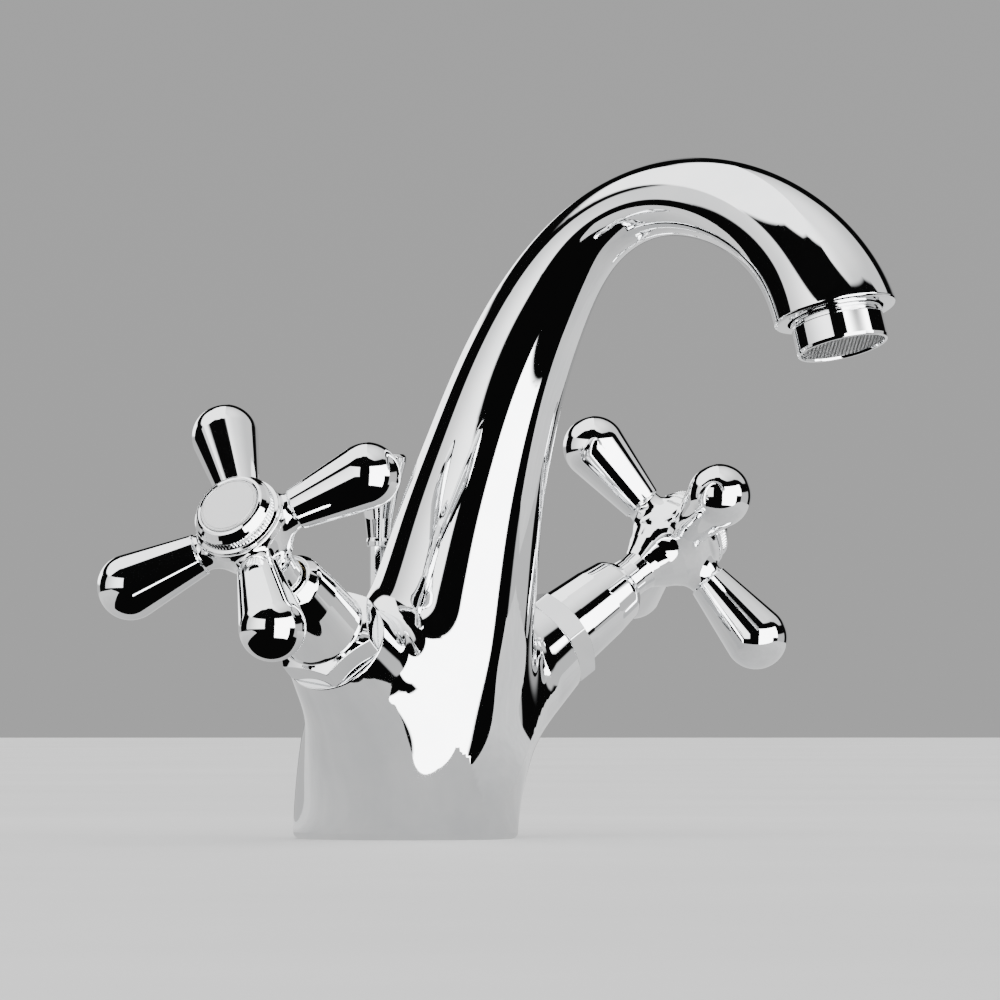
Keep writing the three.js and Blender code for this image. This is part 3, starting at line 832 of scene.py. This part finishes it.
# %% [markdown]
# ## The satin discs
# The disc is a thin blank pressed in with a faint crown. Its top is brushed rather than
# polished, so it looks pale from every side while the rim round it is dark and bright by
# turns. A fine groove just inside the edge catches shadow and reads as a thin dark ring.

# %% Satin finish and the discs
def satin_disc_finish():
    material, nodes, links, shader = new_material("satin_disc")
    vector = object_space(nodes, links, 1.0)
    shader.inputs["Metallic"].default_value = 0.35
    grain = noise(nodes, links, vector, 7.0, 4.0, 0.6)
    colour_between(nodes, links, shader, grain, 0.3, (0.80, 0.81, 0.815), 0.7, (0.87, 0.875, 0.88))
    links.new(remap(nodes, links, grain, 0.3, 0.7, 0.30, 0.42), shader.inputs["Roughness"])
    add_bump(nodes, links, shader, grain, 0.004 * MM, 0.6)
    return material


satin = satin_disc_finish()
for side in ("hot", "cold"):
    section = [
        (0, 11.05, 0), (6.55, 10.98, 0.1), (6.65, 10.8, 0.05), (6.9, 10.8, 0.05), (7.0, 10.95, 0.08),
        (7.25, 10.9, 0.1), (7.25, 9.95, 0.1), (0, 9.95, 0),
    ]
    turned_piece(
        side + "_disc", section, satin, side + "_handle", [side + "_index_disc"],
        valve_matrix(side, HUB_HEIGHT), 128,
    )

# %% [markdown]
# ## The aerator
# The outlet ends in a turned ring that screws into the spout. It steps in just under the
# lip, where a tool grips it, and its open end shows a plastic insert behind a disc of
# woven wire. The ring carries lettering on many taps; here it is plain.

# %% The ring
side_way = Vector((1, 0, 0))
outlet_turn = Matrix((side_way, OUTLET.cross(side_way), OUTLET)).transposed().to_4x4()
outlet_place = Matrix.Translation(LIP * MM) @ outlet_turn @ Matrix.Scale(MM, 4)
ring_section = [
    (9.9, -5.2, 0.2), (10.9, -5.2, 0.2), (10.95, 0.7, 0.1), (10.45, 0.95, 0.1), (10.45, 1.6, 0.1),
    (10.95, 1.85, 0.15), (11.0, 7.3, 0.15), (10.75, 8.1, 0.35), (10.1, 8.15, 0.25), (9.9, 7.5, 0.15),
    (9.9, 7.2, 0.1),
]
turned_piece(
    "aerator_ring", ring_section, chrome, "body", ["aerator_shell"], outlet_place, 160
)

# %% [markdown]
# ## The woven screen
# Two sets of fine steel wires cross at right angles, each passing over and under its
# neighbours. Each wire is a thin tube along a wave whose length is twice the spacing, and
# the two sets are half a wave apart, so that where one rises the other dips.

# %% Weaving the wire screen
SCREEN = {"radius": 9.75, "spacing": 0.62, "wire": 0.13, "height": 7.35, "sides": 6}


def wire_points(offset, number, crossing):
    """The middle of one wire: along X, or along Y for the crossing set."""
    half = math.sqrt(max(SCREEN["radius"] ** 2 - offset**2, 0))
    steps = max(int(half * 2 / SCREEN["spacing"] * 4), 4)
    at = np.linspace(-half, half, steps)
    wave = np.cos(np.pi * at / SCREEN["spacing"]) * SCREEN["wire"] * (-1) ** (number + crossing)
    level = SCREEN["height"] + wave
    side = np.full(steps, offset)
    return np.stack([side, at, level] if crossing else [at, side, level], 1)


def tube(middle, radius, sides):
    """A round tube along a line of points, closed at both ends."""
    middle = np.asarray(middle, float)
    forward = np.gradient(middle, axis=0)
    forward /= np.linalg.norm(forward, axis=1)[:, None]
    start = np.array([0, 0, 1.0]) if abs(forward[0][2]) < 0.8 else np.array([1.0, 0, 0])
    across = np.cross(forward, start)
    across /= np.linalg.norm(across, axis=1)[:, None]
    upright = np.cross(across, forward)
    angles = np.arange(sides) * 2 * np.pi / sides
    cosines, sines = np.cos(angles)[None, :, None], np.sin(angles)[None, :, None]
    circle = across[:, None] * cosines + upright[:, None] * sines
    points = (middle[:, None] + radius * circle).reshape(-1, 3)
    faces = []
    for i in range(len(middle) - 1):
        for j in range(sides):
            k = (j + 1) % sides
            faces.append([i * sides + j, i * sides + k, (i + 1) * sides + k, (i + 1) * sides + j])
    faces += [list(range(sides))[::-1], list(range(len(points) - sides, len(points)))]
    return points, facing_out(points, faces)


def gather(shapes):
    """Several shapes as one list of points and faces."""
    points, faces, shift = [], [], 0
    for shape_points, shape_faces in shapes:
        points.append(shape_points)
        faces += [[i + shift for i in face] for face in shape_faces]
        shift += len(shape_points)
    return np.concatenate(points), faces


def wire_finish():
    material, nodes, links, shader = new_material("steel_wire")
    vector = object_space(nodes, links, 1.0)
    shader.inputs["Metallic"].default_value = 1.0
    drawn = noise(nodes, links, vector, 2.0, 3.0, 0.6)
    colour_between(nodes, links, shader, drawn, 0.3, (0.42, 0.425, 0.43), 0.75, (0.66, 0.665, 0.67))
    links.new(remap(nodes, links, drawn, 0.3, 0.7, 0.25, 0.45), shader.inputs["Roughness"])
    return material


steel_wire = wire_finish()
reach = int(SCREEN["radius"] / SCREEN["spacing"])
wires = []
for number in range(-reach, reach + 1):
    for crossing in (0, 1):
        middle = wire_points(number * SCREEN["spacing"], number, crossing)
        wires.append(tube(middle, SCREEN["wire"] * 0.95, SCREEN["sides"]))
screen_points, screen_faces = gather(wires)
make_piece(
    "aerator_screen", screen_points, screen_faces, steel_wire, "body", ["aerator_mesh"],
    outlet_place,
)

# %% [markdown]
# ## The lift rod
# Behind the neck a slim rod comes up through the body and ends in a tapering knob with a
# flat, slightly dished top. Pulling it works the waste below. A bush with a thin flange
# guides it where it leaves the casting.

# %% Knob, rod and bush
ROD_Y = 9.0
rod_place = Matrix.Translation((0, ROD_Y * MM, 0)) @ Matrix.Scale(MM, 4)
knob_section = [
    (0, 95.0, 0), (4.4, 94.75, 1.0), (6.3, 95.0, 0.5), (7.05, 94.2, 0.6), (6.9, 92.9, 0.5), (5.2, 87.0, 6.0),
    (3.5, 79.0, 6.0), (2.9, 74.2, 0.6), (3.1, 73.4, 0.3), (2.9, 72.1, 0.3), (0, 72.1, 0),
]
turned_piece("knob", knob_section, chrome, "lift_rod", ["lift_knob"], rod_place, 128)
bush_section = [
    (2.4, 57.2, 0.2), (3.4, 57.35, 0.3), (4.7, 56.9, 0.3), (4.75, 56.05, 0.15), (3.6, 56.0, 0.1),
    (3.6, 46.5, 0.3), (2.4, 46.5, 0.2),
]
turned_piece("rod_guide", bush_section, chrome, "body", ["rod_bush"], rod_place, 96)

# %% [markdown]
# ## Finishes for what is carried over
# The valves, fixings and seals keep the shapes that they were designed with. Most of them
# are out of sight, but not all of them: from below one sees the stud, the nut, the plate
# and its gasket. Each gets the finish of its real metal or rubber, with turning marks on
# brass, a bluish mottle on zinc plate, and a dusty grain on rubber. These objects keep
# their designed coordinates, which are in metres, so their patterns scale by a thousand.

# %% A maker of finishes
DESIGNED = 1000.0  # brings a designed part's metres to the millimetres that patterns use


def mottled_finish(name, dark, light, metallic, rough, grain, bump):
    """A finish whose colour and roughness vary with a fine grain and a broad stain."""
    material, nodes, links, shader = new_material(name)
    vector = object_space(nodes, links, DESIGNED)
    shader.inputs["Metallic"].default_value = metallic
    fine = noise(nodes, links, vector, grain, 5.0, 0.6)
    broad = noise(nodes, links, vector, grain * 0.12, 3.0, 0.5)
    both = nodes.new("ShaderNodeMath")
    both.operation = "MULTIPLY_ADD"
    links.new(fine, both.inputs[0])
    both.inputs[1].default_value = 0.5
    half = remap(nodes, links, broad, 0.2, 0.8, 0.0, 0.5)
    links.new(half, both.inputs[2])
    colour_between(nodes, links, shader, both.outputs[0], 0.3, dark, 0.7, light)
    links.new(remap(nodes, links, fine, 0.3, 0.7, rough[0], rough[1]), shader.inputs["Roughness"])
    add_bump(nodes, links, shader, fine, bump * MM, 0.8)
    return material


RECIPES = {  # name, dark and light tone, metallic, roughness range, grain, bump in mm
    "brass": ("turned_brass", (0.55, 0.40, 0.16), (0.76, 0.60, 0.30), 1.0, (0.2, 0.38), 1.2, 0.02),
    "zinc": ("zinc_plate", (0.42, 0.43, 0.45), (0.66, 0.67, 0.69), 1.0, (0.22, 0.42), 0.8, 0.01),
    "rubber": ("black_rubber", (0.018, 0.018, 0.02), (0.05, 0.05, 0.054), 0.0, (0.55, 0.8), 2.5, 0.03),
    "ceramic": ("lapped_ceramic", (0.82, 0.80, 0.75), (0.92, 0.91, 0.88), 0.0, (0.15, 0.25), 1.5, 0.002),
    "grey_plastic": ("grey_acetal", (0.40, 0.42, 0.44), (0.56, 0.58, 0.60), 0.0, (0.35, 0.5), 1.6, 0.01),
    "steel_mesh": ("spring_steel", (0.35, 0.36, 0.37), (0.58, 0.59, 0.6), 1.0, (0.25, 0.4), 1.5, 0.005),
}
FINISHES = {slot_name: mottled_finish(*recipe) for slot_name, recipe in RECIPES.items()}
FINISHES["chrome"] = polished_chrome("rod_chrome", scale=DESIGNED)
FINISHES["satin_disc"] = satin
node_slots = {part["node"]: part["material_slot"] for part in frame["record"]["subparts"]}
for name, slot_name in node_slots.items():
    designed = bpy.data.objects[name]
    if designed.data.materials:
        designed.data.materials[0] = FINISHES[slot_name]
    else:
        designed.data.materials.append(FINISHES[slot_name])
print("finishes given to", len(node_slots), "designed parts")

# %% [markdown]
# ## The floor
# The tap stands on a plain pale slab. Chrome also mirrors it: near its base the body
# shows an even light grey, and above that line the dark studio. A mirror that size sees
# the floor as far as its edge, so how near the edge is decides where the line falls.
# Two floors share the work. The wide one is what the camera sees, and is left out of the
# reflections. The other one is seen only in reflections: it glows a little instead of
# waiting for light, which is painted light, is dimmest beside the tap, which is painted
# shade round the tap's foot, and its front edge is cut close to the tap and swings out
# to either side of it.

# %% Two floors
CAMERA_PLACE = Vector((-1308.6, -1218.7, 32.2)) * MM
CAMERA_AIM = Vector((15.95, -17.1, 83.5)) * MM
toward_camera = Vector((CAMERA_PLACE.x, CAMERA_PLACE.y, 0)).normalized()
to_right = Vector((-toward_camera.y, toward_camera.x, 0))


def floor_finish(name, dark, light):
    material, nodes, links, shader = new_material(name)
    vector = object_space(nodes, links, DESIGNED)
    cloud = noise(nodes, links, vector, 0.004, 5.0, 0.55)
    colour_between(nodes, links, shader, cloud, 0.3, (dark,) * 3, 0.7, (light,) * 3)
    shader.inputs["Roughness"].default_value = 0.65
    return material


def flat_floor(name, outline, finish):
    """A sheet whose corners are (towards the camera, to the right), in metres."""
    corners_at = [toward_camera * near + to_right * side for near, side in outline]
    mesh = bpy.data.meshes.new(name)
    mesh.from_pydata(corners_at, [], [list(range(len(corners_at)))])
    mesh.update()
    if mesh.polygons[0].normal.z < 0:
        mesh.flip_normals()
    floor = bpy.data.objects.new(name, mesh)
    bpy.context.scene.collection.objects.link(floor)
    floor.data.materials.append(finish)
    return floor


def glowing_floor(name, near, far):
    """Painted light given off by the floor, with painted shade: weaker by the foot of the tap than away from
    it.
    """
    material = bpy.data.materials.new(name)
    material.use_nodes = True
    nodes, links = material.node_tree.nodes, material.node_tree.links
    nodes.remove(nodes["Principled BSDF"])
    where = nodes.new("ShaderNodeNewGeometry").outputs["Position"]
    length = nodes.new("ShaderNodeVectorMath")
    length.operation = "LENGTH"
    links.new(where, length.inputs[0])
    vector = object_space(nodes, links, DESIGNED)
    cloud = noise(nodes, links, vector, 0.03, 4.0, 0.55)
    # painted shade: the glow is weaker near the foot of the tap than away from it
    level = remap(nodes, links, length.outputs["Value"], 0.03, 0.25, near, far)
    mottled = nodes.new("ShaderNodeMath")
    mottled.operation = "MULTIPLY"
    links.new(level, mottled.inputs[0])
    links.new(remap(nodes, links, cloud, 0.25, 0.75, 0.93, 1.07), mottled.inputs[1])
    # painted light: the floor glows though it is no lamp
    glow = nodes.new("ShaderNodeEmission")
    links.new(mottled.outputs[0], glow.inputs["Strength"])
    links.new(glow.outputs[0], nodes["Material Output"].inputs["Surface"])
    return material


SLAB = [(3.2, -6), (3.2, 6), (-6, 6), (-6, -6)]
wide = flat_floor("floor", SLAB, floor_finish("pale_floor", 0.70, 0.78))
wide.visible_glossy = False
FRONT_EDGE = [  # from far left, past the foot of the tap, to far right
    (0.22, -0.45), (0.22, -0.25), (0.20, -0.18), (0.048, -0.11), (0.046, -0.06), (0.058, 0.0),
    (0.064, 0.025), (0.066, 0.050), (0.066, 0.300), (0.0, 0.400),
]
BACK_CORNERS = [(-0.5, 0.4), (-0.5, -0.45)]
mirrored = flat_floor("mirrored_floor", FRONT_EDGE + BACK_CORNERS, glowing_floor("floor_glow", 0.66, 1.05))
mirrored.visible_camera = False
mirrored.visible_shadow = False
mirrored.visible_diffuse = False
print("floors:", wide.name, "and", mirrored.name, "with", len(mirrored.data.vertices), "corners")

# %% [markdown]
# ## The studio
# The light is a product photographer's: two large softboxes, one on each side, a broad
# overhead, a few white and grey cards, and black cloth everywhere else. The black is what
# draws the tap. A mirror in an all-white room looks like fog, and it is the dark gaps
# between the lights that give each curve its edge. I paint the studio on the sky by
# direction, so that it stays put for every view. The camera and the matt floor see a
# plain grey instead.

# %% Painting the studio by direction
studio = bpy.data.worlds.new("studio")
bpy.context.scene.world = studio
studio.use_nodes = True
sky, wires_in = studio.node_tree.nodes, studio.node_tree.links
sky.clear()


def calc(operation, *values, clamp=False):
    """One maths node; each value is a number or another node's output."""
    node = sky.new("ShaderNodeMath")
    node.operation = operation
    node.use_clamp = clamp
    for socket, value in zip(node.inputs, values):
        if isinstance(value, (int, float)):
            socket.default_value = value
        else:
            wires_in.new(value, socket)
    return node.outputs[0]


def ramp_between(value, low, high):
    """Rises smoothly from 0 to 1 as the value goes from low to high, which may be lower."""
    node = sky.new("ShaderNodeMapRange")
    node.interpolation_type = "SMOOTHSTEP"
    wires_in.new(value, node.inputs["Value"])
    for socket, number in (("From Min", low), ("From Max", high)):
        if isinstance(number, (int, float)):
            node.inputs[socket].default_value = number
        else:
            wires_in.new(number, node.inputs[socket])
    return node.outputs["Result"]


direction = sky.new("ShaderNodeTexCoord").outputs["Generated"]


def along_way(way):
    node = sky.new("ShaderNodeVectorMath")
    node.operation = "DOT_PRODUCT"
    wires_in.new(direction, node.inputs[0])
    node.inputs[1].default_value = way
    return node.outputs["Value"]


DEGREES = 180 / math.pi
round_way = calc("MULTIPLY", calc("ARCTAN2", along_way(to_right), along_way(toward_camera)), DEGREES)
height_way = calc("MULTIPLY", calc("ARCSINE", along_way(Vector((0, 0, 1)))), DEGREES)


def panel(left, right, low, high, soft):
    """1 inside a rectangle of directions in degrees, falling to 0 across its soft edge."""
    parts = [
        ramp_between(round_way, left - soft, left + soft),
        ramp_between(round_way, right + soft, right - soft),
        ramp_between(height_way, low - soft, low + soft),
        ramp_between(height_way, high + soft, high - soft),
    ]
    result = parts[0]
    for part in parts[1:]:
        result = calc("MULTIPLY", result, part)
    return result


def add_light(total, shape, strength):
    return calc("MULTIPLY_ADD", shape, strength, total)


# The overhead's lower edge, as pairs of degrees: round from the camera, and height
OVERHEAD_EDGE = [
    (-180, 46), (-150, 46), (-138, 36), (-112, 28), (-84, 26), (-72, 41), (-60, 56), (-40, 62), (-30, 68),
    (0, 69), (10, 62), (36, 50), (80, 48), (96, 41), (108, 27), (126, 22), (140, 34), (156, 44), (180, 48),
]
edge = sky.new("ShaderNodeValToRGB")
wires_in.new(calc("MULTIPLY_ADD", round_way, 1 / 360, 0.5), edge.inputs["Fac"])
while len(edge.color_ramp.elements) < len(OVERHEAD_EDGE):
    edge.color_ramp.elements.new(0.5)
for stop, (way, height) in zip(edge.color_ramp.elements, OVERHEAD_EDGE):
    stop.position = way / 360 + 0.5
    stop.color = (height / 90, height / 90, height / 90, 1)
overhead_edge = calc("MULTIPLY", edge.outputs["Color"], 90.0)
overhead = ramp_between(height_way, calc("SUBTRACT", overhead_edge, 2.0), calc("ADD", overhead_edge, 2.0))
right_half = ramp_between(round_way, -20, 60)
top_glow = ramp_between(height_way, 40, 80)
overhead_light = calc("SUBTRACT", 3.0, calc("MULTIPLY", right_half, calc("SUBTRACT", 2.0, top_glow)))
toward_front = ramp_between(round_way, -95, -32)
left_light = calc("MULTIPLY_ADD", toward_front, 2.2, 1.3)
right_box = calc("MAXIMUM", panel(11, 84, 0, 30, 1.2), panel(9, 62, -34, 6, 1.2))
light = calc("MULTIPLY", right_box, 9.0)
light = add_light(light, calc("MULTIPLY", panel(-95, -25, -4, 27, 1.2), left_light), 1.0)
CARDS = [  # left, right, low, high, soft edge, all in degrees, and how bright
    (84, 124, -22, 8, 1.5, 0.72),
    (-168, -132, 3, 18, 1.5, 3.5),
    (-181, -168, -12, 24, 4.0, 0.45),
    (-168, -132, -12, 3, 1.5, 0.65),
    (146, 181, -12, 14, 4.0, 0.40),
]
for *directions, brightness in CARDS:
    light = add_light(light, panel(*directions), brightness)
light = add_light(light, calc("MULTIPLY", overhead, overhead_light), 1.0)
chrome_view = calc("MAXIMUM", light, 0.004)

rays = sky.new("ShaderNodeLightPath")
BACKDROP = 0.42
ROOM = 0.85
plain = calc("MULTIPLY_ADD", ramp_between(height_way, -5, 40), 0.06, BACKDROP)
soft_room = calc("MULTIPLY_ADD", ramp_between(height_way, -10, 60), 0.9, ROOM)
seen = calc("MULTIPLY", rays.outputs["Is Camera Ray"], plain)
seen = calc("MULTIPLY_ADD", rays.outputs["Is Glossy Ray"], chrome_view, seen)
not_camera = calc("SUBTRACT", 1.0, rays.outputs["Is Camera Ray"])
other = calc("SUBTRACT", not_camera, rays.outputs["Is Glossy Ray"], clamp=True)
seen = calc("MULTIPLY_ADD", other, soft_room, seen)
background = sky.new("ShaderNodeBackground")
background.inputs["Color"].default_value = (1, 1, 1, 1)
wires_in.new(seen, background.inputs["Strength"])
wires_in.new(background.outputs[0], sky.new("ShaderNodeOutputWorld").inputs["Surface"])
print("studio nodes:", len(sky))

# %% [markdown]
# ## The camera
# A long lens from slightly below the handles, well back from the tap, keeps the cross
# handles from looking larger in front than behind.

# %% Camera
lens = bpy.data.cameras.new("camera")
lens.lens = 260.7
lens.sensor_width = 36.0
lens.clip_start = 0.05
lens.clip_end = 60.0
camera = bpy.data.objects.new("camera", lens)
bpy.context.scene.collection.objects.link(camera)
camera.location = CAMERA_PLACE
camera.rotation_euler = (CAMERA_AIM - CAMERA_PLACE).to_track_quat("-Z", "Y").to_euler()
bpy.context.scene.camera = camera
print("camera is", round((CAMERA_AIM - CAMERA_PLACE).length, 3), "m away")
